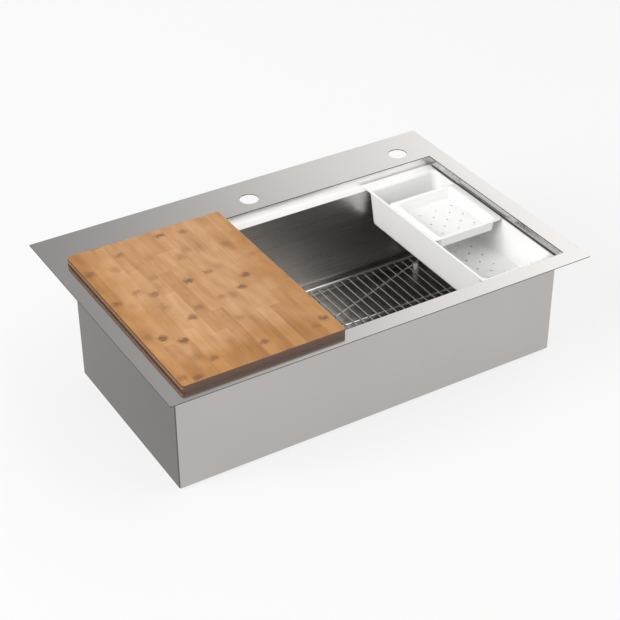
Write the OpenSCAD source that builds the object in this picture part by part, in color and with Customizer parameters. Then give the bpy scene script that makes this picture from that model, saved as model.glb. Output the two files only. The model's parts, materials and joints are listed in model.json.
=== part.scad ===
// Drop-in workstation kitchen sink with its sliding accessories.
// A folded steel box hangs under a flat deck. Inside the deck opening, a lowered ledge
// runs along the front and the back and carries a colander bin, in which a small tray
// rides. A cutting board bridges the opening on the deck, and a wire rack stands in the bowl.
// Origin: middle of the deck in plan, on the surface that the sink stands on.
// +X is to the right, +Y is to the tap side, +Z is up. All sizes in millimetres.

/* [Deck] */
// Length of the deck, left to right
deck_l = 838.2; // [760:0.1:1000]
// Depth of the deck, front to back
deck_w = 558.8; // [540:0.1:640]
// Height of the deck's top above the standing surface
deck_h = 225; // [190:0.5:300]
// Thickness of the deck plate
deck_t = 1.5; // [1:0.1:3]
// Radius of the deck's outer corners
deck_corner_r = 2; // [1:0.5:12]

/* [Opening and ledges] */
// Width of the deck strip on the left and on the right of the opening
strip_side = 33.4; // [32:0.1:50]
// Width of the deck strip in front of the opening
strip_front = 34.8; // [33:0.1:50]
// Width of the deck strip behind the opening
strip_rear = 105.2; // [100:0.1:140]
// Drop from the deck's top to the ledges
recess_drop = 19.5; // [18:0.1:30]
// Width of each ledge, from the recess wall to the bowl wall
ledge_w = 19.4; // [15:0.1:26]
// Outer radius of the ledge's folded corner
ledge_bend_r = 2.5; // [2:0.1:4]

/* [Bowl] */
// Thickness of the sheet of the bowl and the ledges
sheet_t = 1.5; // [0.8:0.1:2]
// Outer radius of the folds between the floor and the walls
floor_bend_r = 3.5; // [2.5:0.1:10]
// Fall of the creased floor from its edges to its middle
floor_fall = 1.6; // [0.5:0.1:1.8]
// Height of the box's bottom edge above the standing surface
bowl_lift = 3; // [2.6:0.1:8]

/* [Drain] */
// Radius of the drain hole
drain_r = 44.5; // [40:0.5:50]
// Radius of the sunken seat round the drain hole
drain_seat_r = 57; // [53:0.5:65]
// Extra radius of the seat's sloping side at its top
drain_seat_flare = 3; // [1:0.5:6]

/* [Tap holes] */
// Radius of a tap hole
tap_r = 18.25; // [15:0.05:20]
// Distance of the tap holes from the deck's rear edge
tap_back = 65; // [55:0.5:72]
// Distance of the second tap hole from the deck's right edge
tap_side = 82.1; // [76:0.1:120]

/* [Tap deck stiffener] */
// Thickness of the plate under the tap holes
stiff_t = 1.5; // [1:0.1:3]
// Gap between the plate and what lies in front of it and behind it
stiff_gap = 5.85; // [1:0.05:8]
// Distance that the plate runs past the outer tap hole centres
stiff_end = 52; // [35:1:60]
// Height of the plate's two turned-down edges
stiff_lip = 8; // [4:0.5:15]
// Radius of the plate's clearance holes
stiff_hole_r = 23; // [21:0.5:26]

/* [Deck seal] */
// Distance of the seal from the deck's edge
seal_inset = 4; // [2:0.5:6]
// Width of the seal
seal_w = 12; // [6:0.5:12]
// Thickness of the seal
seal_t = 2; // [1:0.1:4]

/* [Hook rails] */
// Distance of a rail's upright from the deck's edge
hook_inset = 21; // [18:0.5:24]
// Height of a rail
hook_h = 9; // [6:0.5:12]
// Width of a rail's lip, which points to the bowl
hook_lip = 7; // [5:0.5:8]
// Thickness of the rails
hook_t = 1.2; // [0.8:0.1:2]
// Outer radius of a rail's fold
hook_bend_r = 2.2; // [2.1:0.1:3]
// Length of the front and rear rails
hook_long = 600; // [300:5:680]
// Length of the side rails
hook_short = 300; // [150:5:400]

/* [Sound pads] */
// Distance of the pads from the bowl's walls
pad_inset = 22; // [10:1:40]
// Distance of the pads from the bowl's middle line, left and right
pad_clear_x = 75; // [70:1:120]
// Distance of the pads from the bowl's middle line, front and back
pad_clear_y = 12; // [5:1:40]
// Radius of a pad's corners
pad_corner_r = 10; // [2:1:20]

/* [Cutting board] */
// Width of the board, left to right
board_w = 304.8; // [200:0.1:320]
// Distance that the board laps over the deck, in front of the opening and behind it
board_lap = 12.85; // [8:0.05:25]
// Thickness of the top ply
ply_top = 4; // [3:0.1:8]
// Thickness of the core ply
ply_core = 4.7; // [3:0.1:8]
// Thickness of the bottom ply
ply_bottom = 4; // [3:0.1:8]
// Radius of the board's corners in plan
board_corner_r = 5.5; // [4:0.5:20]
// Radius of the top ply's upper edge
board_edge_r = 1.2; // [0.5:0.1:2.5]
// Width of a guide batten under the board
guide_w = 12; // [6:0.5:13]
// Height of a guide batten
guide_h = 11; // [5:0.5:12]
// Gap between a guide batten and the recess wall
guide_gap = 1.5; // [0.5:0.1:3]
// Distance of a guide batten's ends from the board's edges
guide_end = 18; // [5:1:60]

/* [Bin] */
// Width of the bin, left to right
bin_w = 158.7; // [120:0.1:220]
// Gap between the bin and the bowl's side wall
bin_side_gap = 2; // [0.5:0.1:5]
// Depth of the bin, from its rim to its underside
bin_depth = 71; // [50:1:120]
// Thickness of the bin's walls and floor
bin_wall = 3.6; // [3:0.1:5]
// Thickness of the bin's rim and ears
bin_rim_t = 3; // [2:0.1:4]
// Distance that the rim stands out past the bin's side walls
bin_rim_out = 0.6; // [0.3:0.1:3]
// Gap between an ear's end and the recess wall
bin_ear_gap = 3.8; // [2:0.1:8]
// Gap between the bin's end walls and the bowl's walls, at the rim
bin_end_gap = 2.8; // [1.5:0.1:8]
// Radius of the bin's upright corners
bin_corner_r = 15; // [13:1:30]
// Radius of the bin's bottom edges
bin_bottom_r = 9; // [4:0.5:10]
// Lean of the bin's side walls over its depth
bin_lean_x = 2; // [1:0.5:8]
// Lean of the bin's end walls over its depth
bin_lean_y = 13; // [3:0.5:20]
// Radius of the ears' corners
ear_corner_r = 5; // [2:0.5:10]
// Radius of the bend from the ears into the bin's end walls
ear_bend_r = 8; // [4:0.5:9]
// Gap between the thick root of an ear and the bowl's wall
ear_root_gap = 1; // [0.5:0.1:1.4]

/* [Tray] */
// Distance of the tray's rim from the outer edges of the bin's rim
tray_inset = 2.15; // [1.5:0.05:2.6]
// Length of the tray's rim, front to back
tray_l = 155; // [120:1:220]
// Depth of the tray, from its rim to its underside
tray_depth = 25; // [15:0.5:40]
// Thickness of the tray's walls and floor
tray_wall = 2.2; // [1.5:0.1:3]
// Thickness of the tray's rim
tray_rim_t = 2; // [1.5:0.1:3]
// Radius of the rim's corners
tray_rim_r = 8; // [4:0.5:16]
// Width of the flange that bears on the bin's rim, past the tray's side walls
tray_flange_side = 12.7; // [10:0.1:25]
// Width of the flange at the tray's front and back
tray_flange_end = 4; // [2:0.1:12]
// Distance of the tray's middle from the bowl's middle, to the rear
tray_place = 38.7; // [0:0.1:60]
// Radius of the tray's upright corners
tray_corner_r = 10; // [7:0.5:20]
// Radius of the tray's bottom edges
tray_bottom_r = 3.5; // [3:0.5:6]
// Lean of the tray's walls over its depth
tray_lean = 3; // [1:0.5:6]
// Gap between the ribs under the tray's flanges and the bin's walls
rib_gap = 0.6; // [0.3:0.1:1]
// Thickness of a rib
rib_t = 1.6; // [1:0.1:2.5]
// Height of a rib
rib_h = 5; // [3:0.5:10]
// Length of a rib
rib_l = 100; // [60:1:110]

/* [Strainer holes] */
// Radius of the strainer holes in the bin and the tray
hole_r = 2.4; // [1.5:0.1:3.5]
// Distance between neighbouring columns of holes
hole_pitch_x = 18.35; // [12:0.05:20]
// Distance between neighbouring rows of holes in the bin
bin_pitch_y = 17.5; // [12:0.1:20]
// Number of rows of holes in the bin's floor
bin_hole_rows = 13; // [3:2:15]
// Distance between neighbouring rows of holes in the tray
tray_pitch_y = 18.5; // [12:0.1:20]
// Number of rows of holes in the tray's floor
tray_hole_rows = 5; // [3:2:5]
// Distance of the tray's hole field behind the tray's middle
tray_hole_shift = 5; // [0:0.5:8]

/* [Rack] */
// Gap between the rack's rail and the bowl's walls
rack_gap = 7.5; // [3:0.5:20]
// Diameter of the rack's outer rail
rail_d = 6; // [4:0.5:8]
// Radius of the rail's corners, at its centre line
rail_corner_r = 20; // [10:1:40]
// Diameter of the cross wires
wire_d = 3; // [2:0.5:4]
// Distance between neighbouring cross wires
wire_pitch = 18; // [12:0.5:30]
// Diameter of the support bars and braces
bar_d = 5; // [4:0.5:6]
// Distance of each long support bar from the rack's middle
bar_place = 51.5; // [30:0.5:90]
// Height of the support bars' underside above the edge of the bowl's floor
bar_lift = 11; // [8:0.5:30]
// Depth to which crossing wires are welded into each other
weld = 0.15; // [0.1:0.05:0.4]
// Radius of a foot
foot_r = 7; // [5:0.5:9]
// Distance of the feet from the rail, front and back
foot_inset = 26.5; // [15:0.5:60]
// Number of cross wires between a corner foot and the rack's end
foot_wire = 2; // [1:1:6]

/* [Hidden] */

$fn = 72;
// Number of facets on the corners of moulded shells
shell_fn = 32;
// Overshoot of a cutting shape past the face that it cuts
cut = 1;
// Thickness of the thin discs that give a moulded shell its upper outline
skin = 0.02;
// Fit between a foot and the wire that runs through it
foot_fit = 0.05;
// Gap under a resting foot
foot_rest = 0.25;

steel_colour = "#b9b6b2";
wire_colour = "#d2d2d0";
rubber_colour = "#35373a";
foot_colour = "#dcdcd8";
bamboo_colour = "#c98f52";
bamboo_core_colour = "#a56c39";
plastic_colour = "#f2f2f0";

// Deck and opening
deck_z = deck_h - deck_t;
open_x = deck_l / 2 - strip_side;
open_front = -deck_w / 2 + strip_front;
open_rear = deck_w / 2 - strip_rear;
opening_w = open_rear - open_front;
mid_y = (open_front + open_rear) / 2;
ledge_z = deck_h - recess_drop;
ledge_under = ledge_z - sheet_t;

// Bowl: inner faces and floor
bowl_front = open_front + ledge_w;
bowl_rear = open_rear - ledge_w;
floor_edge_z = bowl_lift + sheet_t;
bowl_half_y = (bowl_rear - bowl_front) / 2;
// Height at which the floor's folds end and the walls begin
wall_z = bowl_lift + floor_bend_r;

// Taps, and the plate under them between the recess wall and the rear hook rail
tap_pitch = deck_l / 2 - tap_side;
tap_y = deck_w / 2 - tap_back;
stiff_front = open_rear + sheet_t + stiff_gap;
stiff_rear = deck_w / 2 - hook_inset - hook_lip - stiff_gap;

// Cutting board
board_l = opening_w + 2 * board_lap;
board_x = -open_x + board_w / 2;
board_z = deck_h;
board_h = ply_top + ply_core + ply_bottom;

// Bin
bin_x = open_x - bin_side_gap - bin_w / 2;
bin_top = ledge_z + bin_rim_t;
bin_floor = bin_top - bin_depth;
bin_tub_w = bin_w - 2 * bin_rim_out;
bin_tub_l = 2 * (bowl_half_y - bin_end_gap);
bin_span = opening_w - 2 * bin_ear_gap;
bin_mouth_w = bin_tub_w - 2 * bin_wall;

// Tray
tray_w = bin_w - 2 * tray_inset;
tray_top = bin_top + tray_rim_t;
tray_floor = tray_top - tray_depth;
tray_tub_w = tray_w - 2 * tray_flange_side;
tray_tub_l = tray_l - 2 * tray_flange_end;
tray_y = mid_y + tray_place;

// Rack: centre lines and heights
rail_x = open_x - rack_gap - rail_d / 2;
rail_y = bowl_half_y - rack_gap - rail_d / 2;
bar_z = floor_edge_z + bar_lift + bar_d / 2;
wire_z = bar_z + bar_d / 2 + wire_d / 2 - weld;
// The rail lies above the wires' ends and touches them at this slant
rail_touch = rail_d / 2 + wire_d / 2 - weld;
rail_touch_angle = 50;
rail_z = wire_z + rail_touch * sin(rail_touch_angle);
wire_end = rail_y - rail_touch * cos(rail_touch_angle);
wires_per_side = floor((rail_x - rail_d / 2 - wire_d) / wire_pitch);
foot_x = (wires_per_side - foot_wire) * wire_pitch;
foot_y = rail_y - foot_inset;
foot_z = floor_edge_z + foot_rest;
foot_top = wire_z + wire_d / 2 + 1;
bar_reach = wires_per_side * wire_pitch + bar_d;
brace_start_x = bar_d;
brace_end_x = rail_x - rail_corner_r;
brace_end_y = rail_y - rail_d;

// ---- Shared shapes ----

// Rectangle with round corners, centred
module round_rect(w, l, r) {
    square([w - 2 * r, l], center = true);
    square([w, l - 2 * r], center = true);
    for (sx = [-1, 1], sy = [-1, 1])
        translate([sx * (w / 2 - r), sy * (l / 2 - r)])
            circle(r);
}

// Section of a strip of width w along X that ends in a quarter fold, turned up at the origin
module fold_section(w, t, r) {
    translate([r, 0])
        square([w - r, t]);
    intersection() {
        square([r, r]);
        translate([r, r])
            difference() {
                circle(r);
                circle(r - t);
            }
    }
}

// Section of a pan from a to b: upright sides, round lower corners and a floor that falls
// to its middle
module pan_section(a, b, r, z_edge, z_top) {
    middle = (a + b) / 2;
    difference() {
        polygon([[a, z_top], [a, z_edge], [a + r, z_edge], [middle, z_edge - floor_fall],
            [b - r, z_edge], [b, z_edge], [b, z_top]]);
        for (side = [0, 1])
            translate([side == 0 ? a : b, z_edge])
                mirror([side, 0])
                    difference() {
                        translate([-cut, -cut])
                            square([r + cut, r + cut]);
                        translate([r, r])
                            circle(r);
                    }
    }
}

// Pan with a creased floor: two crossed sections, each run through the other
module pan_form(grow, r, z_edge, z_top) {
    half_x = open_x + grow;
    front = bowl_front - grow;
    rear = bowl_rear + grow;
    intersection() {
        translate([-half_x - cut, 0, 0])
            rotate([90, 0, 90])
                linear_extrude(2 * (half_x + cut))
                    pan_section(front, rear, r, z_edge, z_top);
        translate([0, rear + cut, 0])
            rotate([90, 0, 0])
                linear_extrude(rear - front + 2 * cut)
                    pan_section(-half_x, half_x, r, z_edge, z_top);
    }
}

// Height of the bowl's floor at a point
function floor_z(x, y) = floor_edge_z - floor_fall * max(0, min(
    (open_x - abs(x) - floor_bend_r + sheet_t) / (open_x - floor_bend_r + sheet_t),
    (bowl_half_y - abs(y - mid_y) - floor_bend_r + sheet_t)
        / (bowl_half_y - floor_bend_r + sheet_t)));

// Moulded tub: an upper outline that narrows to a floor with round edges
module tub(w, l, r, lean_x, lean_y, edge_r, depth) {
    low_r = max(r - min(lean_x, lean_y), edge_r + skin);
    hull($fn = shell_fn) {
        for (sx = [-1, 1], sy = [-1, 1]) {
            translate([sx * (w / 2 - r), sy * (l / 2 - r), depth - skin])
                cylinder(h = skin, r = r, $fn = shell_fn);
            translate([sx * (w / 2 - lean_x - low_r), sy * (l / 2 - lean_y - low_r), edge_r])
                rotate_extrude($fn = shell_fn)
                    translate([low_r - edge_r, 0])
                        intersection() {
                            circle(edge_r, $fn = shell_fn);
                            translate([0, -edge_r])
                                square([edge_r, 2 * edge_r]);
                        }
        }
    }
}

// Field of holes in which every other row is shifted by one column, from the first row
// on or from the second
module hole_field(columns, rows, pitch_y, first, depth) {
    middle = (columns - 1) / 2;
    for (row = [0 : rows - 1], column = [0 : columns - 1])
        if ((row + column + first) % 2 == 0)
            translate([(column - middle) * hole_pitch_x,
                (row - (rows - 1) / 2) * pitch_y, -depth])
                cylinder(h = 3 * depth, r = hole_r, $fn = 24);
}

// Straight wire between two points
module wire(from, to, d) {
    run = to - from;
    span = norm(run);
    translate(from)
        rotate([0, acos(run[2] / span), atan2(run[1], run[0])])
            cylinder(h = span, d = d, $fn = 32);
}

// ---- Sink ----

module deck_plate() color(steel_colour) {
    translate([0, 0, deck_z])
        linear_extrude(deck_t)
            difference() {
                round_rect(deck_l, deck_w, deck_corner_r);
                translate([-open_x, open_front])
                    square([2 * open_x, opening_w]);
                for (x = [0, tap_pitch])
                    translate([x, tap_y])
                        circle(tap_r);
            }
}

// Soft strip under the deck's edge, which beds the sink on its worktop
module deck_seal() color(rubber_colour)
    translate([0, 0, deck_z - seal_t])
        linear_extrude(seal_t)
            difference() {
                round_rect(deck_l - 2 * seal_inset, deck_w - 2 * seal_inset, seal_w);
                square([deck_l - 2 * (seal_inset + seal_w), deck_w - 2 * (seal_inset + seal_w)],
                    center = true);
            }

// Upright sheet between the deck and a ledge's fold
module recess_wall(y) {
    low = ledge_under + ledge_bend_r;
    translate([-open_x, y, low])
        cube([2 * open_x, sheet_t, deck_z - low]);
}

module recess_wall_front() color(steel_colour) recess_wall(open_front - sheet_t);

module recess_wall_rear() color(steel_colour) recess_wall(open_rear);

// Ledge that turns up in a fold to meet the recess wall, drawn for the front
module ledge_strip() {
    outer_y = open_front - sheet_t;
    translate([-open_x, outer_y, ledge_under])
        rotate([90, 0, 90])
            linear_extrude(2 * open_x)
                fold_section(bowl_front - outer_y, sheet_t, ledge_bend_r);
}

module ledge_front() color(steel_colour) ledge_strip();

module ledge_rear() color(steel_colour)
    translate([0, 2 * mid_y, 0])
        mirror([0, 1, 0])
            ledge_strip();

// Floor pan with its folds and the sunken seat for a strainer
module bowl_floor() color(steel_colour) {
    difference() {
        union() {
            pan_form(sheet_t, floor_bend_r, bowl_lift, wall_z);
            translate([0, mid_y, 0])
                cylinder(h = bowl_lift, r1 = drain_seat_r + sheet_t,
                    r2 = drain_seat_r + sheet_t + drain_seat_flare);
        }
        pan_form(0, floor_bend_r - sheet_t, floor_edge_z, wall_z + cut);
        translate([0, mid_y, sheet_t])
            cylinder(h = bowl_lift, r1 = drain_seat_r, r2 = drain_seat_r + drain_seat_flare);
        translate([0, mid_y, -cut])
            cylinder(h = bowl_lift + sheet_t, r = drain_r);
    }
}

// Wall between the floor's fold and a ledge
module long_wall(y)
    translate([-open_x, y, wall_z])
        cube([2 * open_x, sheet_t, ledge_under - wall_z]);

// Wall between the floor's fold and the deck, with shoulders that close the ends of the
// ledges and recess walls
module end_wall(x) {
    low_front = bowl_front - sheet_t;
    low_rear = bowl_rear + sheet_t;
    high_front = open_front - sheet_t;
    high_rear = open_rear + sheet_t;
    translate([x, 0, 0])
        rotate([90, 0, 90])
            linear_extrude(sheet_t)
                polygon([[low_front, wall_z], [low_rear, wall_z], [low_rear, ledge_under],
                    [high_rear, ledge_under], [high_rear, deck_z], [high_front, deck_z],
                    [high_front, ledge_under], [low_front, ledge_under]]);
}

module bowl_wall_front() color(steel_colour) long_wall(bowl_front - sheet_t);

module bowl_wall_rear() color(steel_colour) long_wall(bowl_rear);

module bowl_wall_left() color(steel_colour) end_wall(-open_x - sheet_t);

module bowl_wall_right() color(steel_colour) end_wall(open_x);

// Channel plate under the tap deck, with clearance round each tap's shank
module tap_stiffener() color(steel_colour) {
    left = -stiff_end;
    length = tap_pitch + 2 * stiff_end;
    translate([0, 0, deck_z - stiff_t])
        linear_extrude(stiff_t)
            difference() {
                translate([left, stiff_front])
                    square([length, stiff_rear - stiff_front]);
                for (x = [0, tap_pitch])
                    translate([x, tap_y])
                        circle(stiff_hole_r);
            }
    for (y = [stiff_front, stiff_rear - stiff_t])
        translate([left, y, deck_z - stiff_lip])
            cube([length, stiff_t, stiff_lip]);
}

// Folded rail under the deck, on which the mounting clips hook: upright at the deck's
// edge side, lip towards the bowl
module hook_rail(length) {
    translate([-length / 2, 0, deck_z - hook_h])
        rotate([90, 0, 90])
            linear_extrude(length) {
                fold_section(hook_lip, hook_t, hook_bend_r);
                translate([0, hook_bend_r])
                    square([hook_t, hook_h - hook_bend_r]);
            }
}

module hook_rail_front() color(steel_colour)
    translate([0, -deck_w / 2 + hook_inset, 0])
        hook_rail(hook_long);

module hook_rail_rear() color(steel_colour)
    translate([0, deck_w / 2 - hook_inset, 0])
        rotate([0, 0, 180])
            hook_rail(hook_long);

module hook_rail_left() color(steel_colour)
    translate([-deck_l / 2 + hook_inset, mid_y, 0])
        rotate([0, 0, -90])
            hook_rail(hook_short);

module hook_rail_right() color(steel_colour)
    translate([deck_l / 2 - hook_inset, mid_y, 0])
        rotate([0, 0, 90])
            hook_rail(hook_short);

// Damping pads glued under the four fields of the creased floor
module sound_pads() color(rubber_colour) {
    length = open_x - pad_inset - pad_clear_x;
    width = bowl_half_y - pad_inset - pad_clear_y;
    difference() {
        for (sx = [-1, 1], sy = [-1, 1])
            translate([sx * (pad_clear_x + length / 2), mid_y + sy * (pad_clear_y + width / 2), 0])
                linear_extrude(bowl_lift + cut)
                    round_rect(length, width, pad_corner_r);
        pan_form(sheet_t, floor_bend_r, bowl_lift, deck_z);
    }
}

// ---- Cutting board ----

module ply(z, thickness) {
    translate([board_x, mid_y, z])
        linear_extrude(thickness)
            round_rect(board_w, board_l, board_corner_r);
}

// Top ply with a rounded upper edge
module board_top_ply() color(bamboo_colour) {
    z = board_z + ply_bottom + ply_core;
    edge_z = z + ply_top - board_edge_r;
    ply(z, ply_top - board_edge_r);
    translate([board_x, mid_y, z])
        linear_extrude(ply_top)
            round_rect(board_w - 2 * board_edge_r, board_l - 2 * board_edge_r,
                board_corner_r - board_edge_r);
    for (sx = [-1, 1], sy = [-1, 1])
        translate([board_x + sx * (board_w / 2 - board_corner_r),
            mid_y + sy * (board_l / 2 - board_corner_r), edge_z])
            rotate_extrude()
                translate([board_corner_r - board_edge_r, 0])
                    circle(board_edge_r);
    for (side = [-1, 1]) {
        translate([board_x + side * (board_w / 2 - board_edge_r), mid_y, edge_z])
            rotate([90, 0, 0])
                cylinder(h = board_l - 2 * board_corner_r, r = board_edge_r, center = true);
        translate([board_x, mid_y + side * (board_l / 2 - board_edge_r), edge_z])
            rotate([0, 90, 0])
                cylinder(h = board_w - 2 * board_corner_r, r = board_edge_r, center = true);
    }
}

module board_core_ply() color(bamboo_core_colour)
    ply(board_z + ply_bottom, ply_core);

module board_bottom_ply() color(bamboo_colour)
    ply(board_z, ply_bottom);

// Two battens that keep the board square to the opening as it slides
module board_guides() color(bamboo_core_colour) {
    reach = opening_w / 2 - guide_gap - guide_w / 2;
    for (side = [-1, 1])
        translate([board_x, mid_y + side * reach, board_z - guide_h])
            linear_extrude(guide_h)
                round_rect(board_w - 2 * guide_end, guide_w, guide_w / 3);
}

// ---- Bin and tray ----

// Outline of the bin at a height, as a thin plate
module bin_outline(w, l, r, z)
    translate([0, 0, z])
        linear_extrude(skin)
            round_rect(w, l, r, $fn = shell_fn);

// Root of the ears: the end walls swell outwards under the rim
module ear_root() {
    lean = ear_bend_r / (bin_depth - bin_bottom_r);
    root_w = bin_tub_w - 2 * bin_lean_x * lean;
    hull() {
        bin_outline(root_w, bin_tub_l - 2 * bin_lean_y * lean, bin_corner_r,
            bin_depth - ear_bend_r);
        bin_outline(root_w, bin_tub_l + 2 * (bin_end_gap - ear_root_gap), bin_corner_r,
            bin_depth - bin_rim_t);
    }
}

// Flare of the bin's mouth, which bends the end walls out into the ears
module ear_flare() {
    steps = 4;
    lean = (bin_wall + ear_bend_r) / (bin_depth + bin_wall - bin_bottom_r);
    flare_w = bin_mouth_w - 2 * bin_lean_x * lean;
    flare_l = bin_tub_l - 2 * bin_wall - 2 * bin_lean_y * lean;
    for (i = [0 : steps - 1])
        hull()
            for (turn = [i * 90 / steps, (i + 1) * 90 / steps])
                bin_outline(flare_w, flare_l + 2 * ear_bend_r * (1 - cos(turn)),
                    bin_corner_r - bin_wall, bin_depth - ear_bend_r * (1 - sin(turn)));
}

module bin() color(plastic_colour)
    translate([bin_x, mid_y, bin_floor])
        difference() {
            union() {
                tub(bin_tub_w, bin_tub_l, bin_corner_r, bin_lean_x, bin_lean_y,
                    bin_bottom_r, bin_depth);
                ear_root();
                translate([0, 0, bin_depth - bin_rim_t])
                    linear_extrude(bin_rim_t)
                        round_rect(bin_w, bin_span, ear_corner_r);
            }
            translate([0, 0, bin_wall])
                tub(bin_mouth_w, bin_tub_l - 2 * bin_wall, bin_corner_r - bin_wall,
                    bin_lean_x, bin_lean_y, bin_bottom_r - bin_wall, bin_depth);
            ear_flare();
            hole_field(5, bin_hole_rows, bin_pitch_y, 0, bin_wall);
        }

module tray() color(plastic_colour)
    translate([bin_x, tray_y, tray_floor])
        difference() {
            union() {
                tub(tray_tub_w, tray_tub_l, tray_corner_r, tray_lean, tray_lean,
                    tray_bottom_r, tray_depth);
                translate([0, 0, tray_depth - tray_rim_t])
                    linear_extrude(tray_rim_t)
                        round_rect(tray_w, tray_l, tray_rim_r);
                for (side = [-1, 1])
                    translate([side * (bin_mouth_w / 2 - rib_gap - rib_t / 2), 0,
                        tray_depth - tray_rim_t - rib_h / 2])
                        cube([rib_t, rib_l, rib_h + skin], center = true);
            }
            translate([0, 0, tray_wall])
                tub(tray_tub_w - 2 * tray_wall, tray_tub_l - 2 * tray_wall,
                    tray_corner_r - tray_wall, tray_lean, tray_lean,
                    tray_bottom_r - tray_wall, tray_depth);
            translate([0, tray_hole_shift, 0])
                hole_field(6, tray_hole_rows, tray_pitch_y, 1, tray_wall);
        }

// ---- Rack ----

// Outer rail, bent from one rod
module rack_rail() color(wire_colour)
    translate([0, mid_y, rail_z]) {
        for (side = [-1, 1]) {
            translate([0, side * rail_y, 0])
                rotate([0, 90, 0])
                    cylinder(h = 2 * (rail_x - rail_corner_r), d = rail_d, center = true);
            translate([side * rail_x, 0, 0])
                rotate([90, 0, 0])
                    cylinder(h = 2 * (rail_y - rail_corner_r), d = rail_d, center = true);
        }
        for (turn = [0 : 3]) {
            sx = turn == 0 || turn == 3 ? 1 : -1;
            sy = turn < 2 ? 1 : -1;
            translate([sx * (rail_x - rail_corner_r), sy * (rail_y - rail_corner_r), 0])
                rotate([0, 0, 90 * turn])
                    rotate_extrude(angle = 90)
                        translate([rail_corner_r, 0])
                            circle(d = rail_d);
        }
    }

// Cross wires, welded on the bars and under the rail
module rack_cross_wires() color(wire_colour)
    for (i = [-wires_per_side : wires_per_side])
        wire([i * wire_pitch, mid_y - wire_end, wire_z], [i * wire_pitch, mid_y + wire_end, wire_z],
            wire_d);

// Two long bars under the cross wires
module rack_bars() color(wire_colour)
    for (sy = [-1, 1])
        wire([-bar_reach, mid_y + sy * bar_place, bar_z],
            [bar_reach, mid_y + sy * bar_place, bar_z], bar_d);

// Braces that run from the bars' middles to the rack's corners
module rack_braces() color(wire_colour)
    for (sx = [-1, 1], sy = [-1, 1])
        wire([sx * brace_start_x, mid_y + sy * (bar_place + bar_d - weld), bar_z],
            [sx * brace_end_x, mid_y + sy * brace_end_y, bar_z], bar_d);

// Soft feet that snap on the cross wires
module rack_feet() color(foot_colour)
    for (ix = [-1 : 1], sy = [-1, 1]) {
        x = ix * foot_x;
        y = mid_y + sy * foot_y;
        low = floor_z(x, y) + foot_rest;
        height = foot_top - low;
        difference() {
            translate([x, y, low])
                rotate_extrude()
                    polygon([[0, 0], [foot_r - 1, 0], [foot_r, 1.5], [foot_r - 1, height / 2],
                        [foot_r - 1.5, height - 1.5], [foot_r - 3, height], [0, height]]);
            translate([x, y, wire_z])
                rotate([90, 0, 0])
                    cylinder(h = 4 * foot_r, r = wire_d / 2 + foot_fit, center = true, $fn = 32);
        }
    }

deck_plate();
deck_seal();
recess_wall_front();
recess_wall_rear();
ledge_front();
ledge_rear();
bowl_floor();
bowl_wall_front();
bowl_wall_rear();
bowl_wall_left();
bowl_wall_right();
tap_stiffener();
hook_rail_front();
hook_rail_rear();
hook_rail_left();
hook_rail_right();
sound_pads();
board_top_ply();
board_core_ply();
board_bottom_ply();
board_guides();
bin();
tray();
rack_rail();
rack_cross_wires();
rack_bars();
rack_braces();
rack_feet();
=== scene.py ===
import json
import math

import bmesh
import bpy
from mathutils import Matrix, Vector
from mathutils.geometry import tessellate_polygon


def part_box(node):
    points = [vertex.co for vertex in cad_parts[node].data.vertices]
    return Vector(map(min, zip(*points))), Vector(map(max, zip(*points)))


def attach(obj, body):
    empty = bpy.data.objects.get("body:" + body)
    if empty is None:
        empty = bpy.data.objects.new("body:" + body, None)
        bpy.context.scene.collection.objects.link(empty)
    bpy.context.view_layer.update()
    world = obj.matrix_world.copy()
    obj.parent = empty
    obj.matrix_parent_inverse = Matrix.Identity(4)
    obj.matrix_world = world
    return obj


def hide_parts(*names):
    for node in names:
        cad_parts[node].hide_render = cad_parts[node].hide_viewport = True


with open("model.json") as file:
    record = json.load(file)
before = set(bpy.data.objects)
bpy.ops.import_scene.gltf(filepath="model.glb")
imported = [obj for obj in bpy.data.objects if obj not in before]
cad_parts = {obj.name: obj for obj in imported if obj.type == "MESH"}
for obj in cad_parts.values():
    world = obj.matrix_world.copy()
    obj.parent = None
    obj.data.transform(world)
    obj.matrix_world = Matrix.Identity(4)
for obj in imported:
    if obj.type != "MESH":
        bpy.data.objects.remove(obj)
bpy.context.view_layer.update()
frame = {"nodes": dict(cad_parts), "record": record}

NODES = frame["nodes"]
MM = 0.001

# Camera: turned about the sink, with a small pan and roll. Lengths are in metres.
CAMERA_AZIMUTH = math.radians(-31.102)
CAMERA_ELEVATION = math.radians(34.322)
CAMERA_ROLL = math.radians(-0.235)
CAMERA_DISTANCE = 2.9694
CAMERA_PAN = (0.00307, 0.07824)
CAMERA_LIFT = 0.0012
CAMERA_FAR = 30
SENSOR_WIDTH = 36.0
FOCAL_LENGTH = 92.093

# Steps of a corner's quarter turn and of a side, in the outlines that are lofted, and of a
# leaning wall's height
CORNER_STEPS = 8
SIDE_STEPS = 6
WALL_STEPS = 4
# Least radii of a box's and a tub's corners, where they shrink towards the floor
BOX_LEAST_CORNER = 0.4 * MM
TUB_LEAST_CORNER = 0.5 * MM
# Angle from which an edge is drawn sharp
SHARP_ANGLE = math.radians(40)

# Sheet metal
DECK_EDGE = 0.4 * MM
SHEET = 1.5 * MM
BOX_CORNER = 2.2 * MM
FLOOR_FOLD = 3.5 * MM
FLOOR_FALL = 1.6 * MM
PAD_THICKNESS = 3 * MM
DRAIN_RADIUS = 44.5 * MM
DRAIN_EDGE = 0.5 * MM
SEAT_RADIUS = 57 * MM
SEAT_FLARE = 3 * MM
SEAT_LEAN = 0.4 * MM
TAP_RADIUS = 18.25 * MM
TAP_STEPS = 64
# Sideways part of a face's normal from which the face belongs to a side wall
SIDE_FACING = 0.5
LEDGE_FOLD = 2.5 * MM
LEDGE_EDGE = 0.9 * MM

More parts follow.
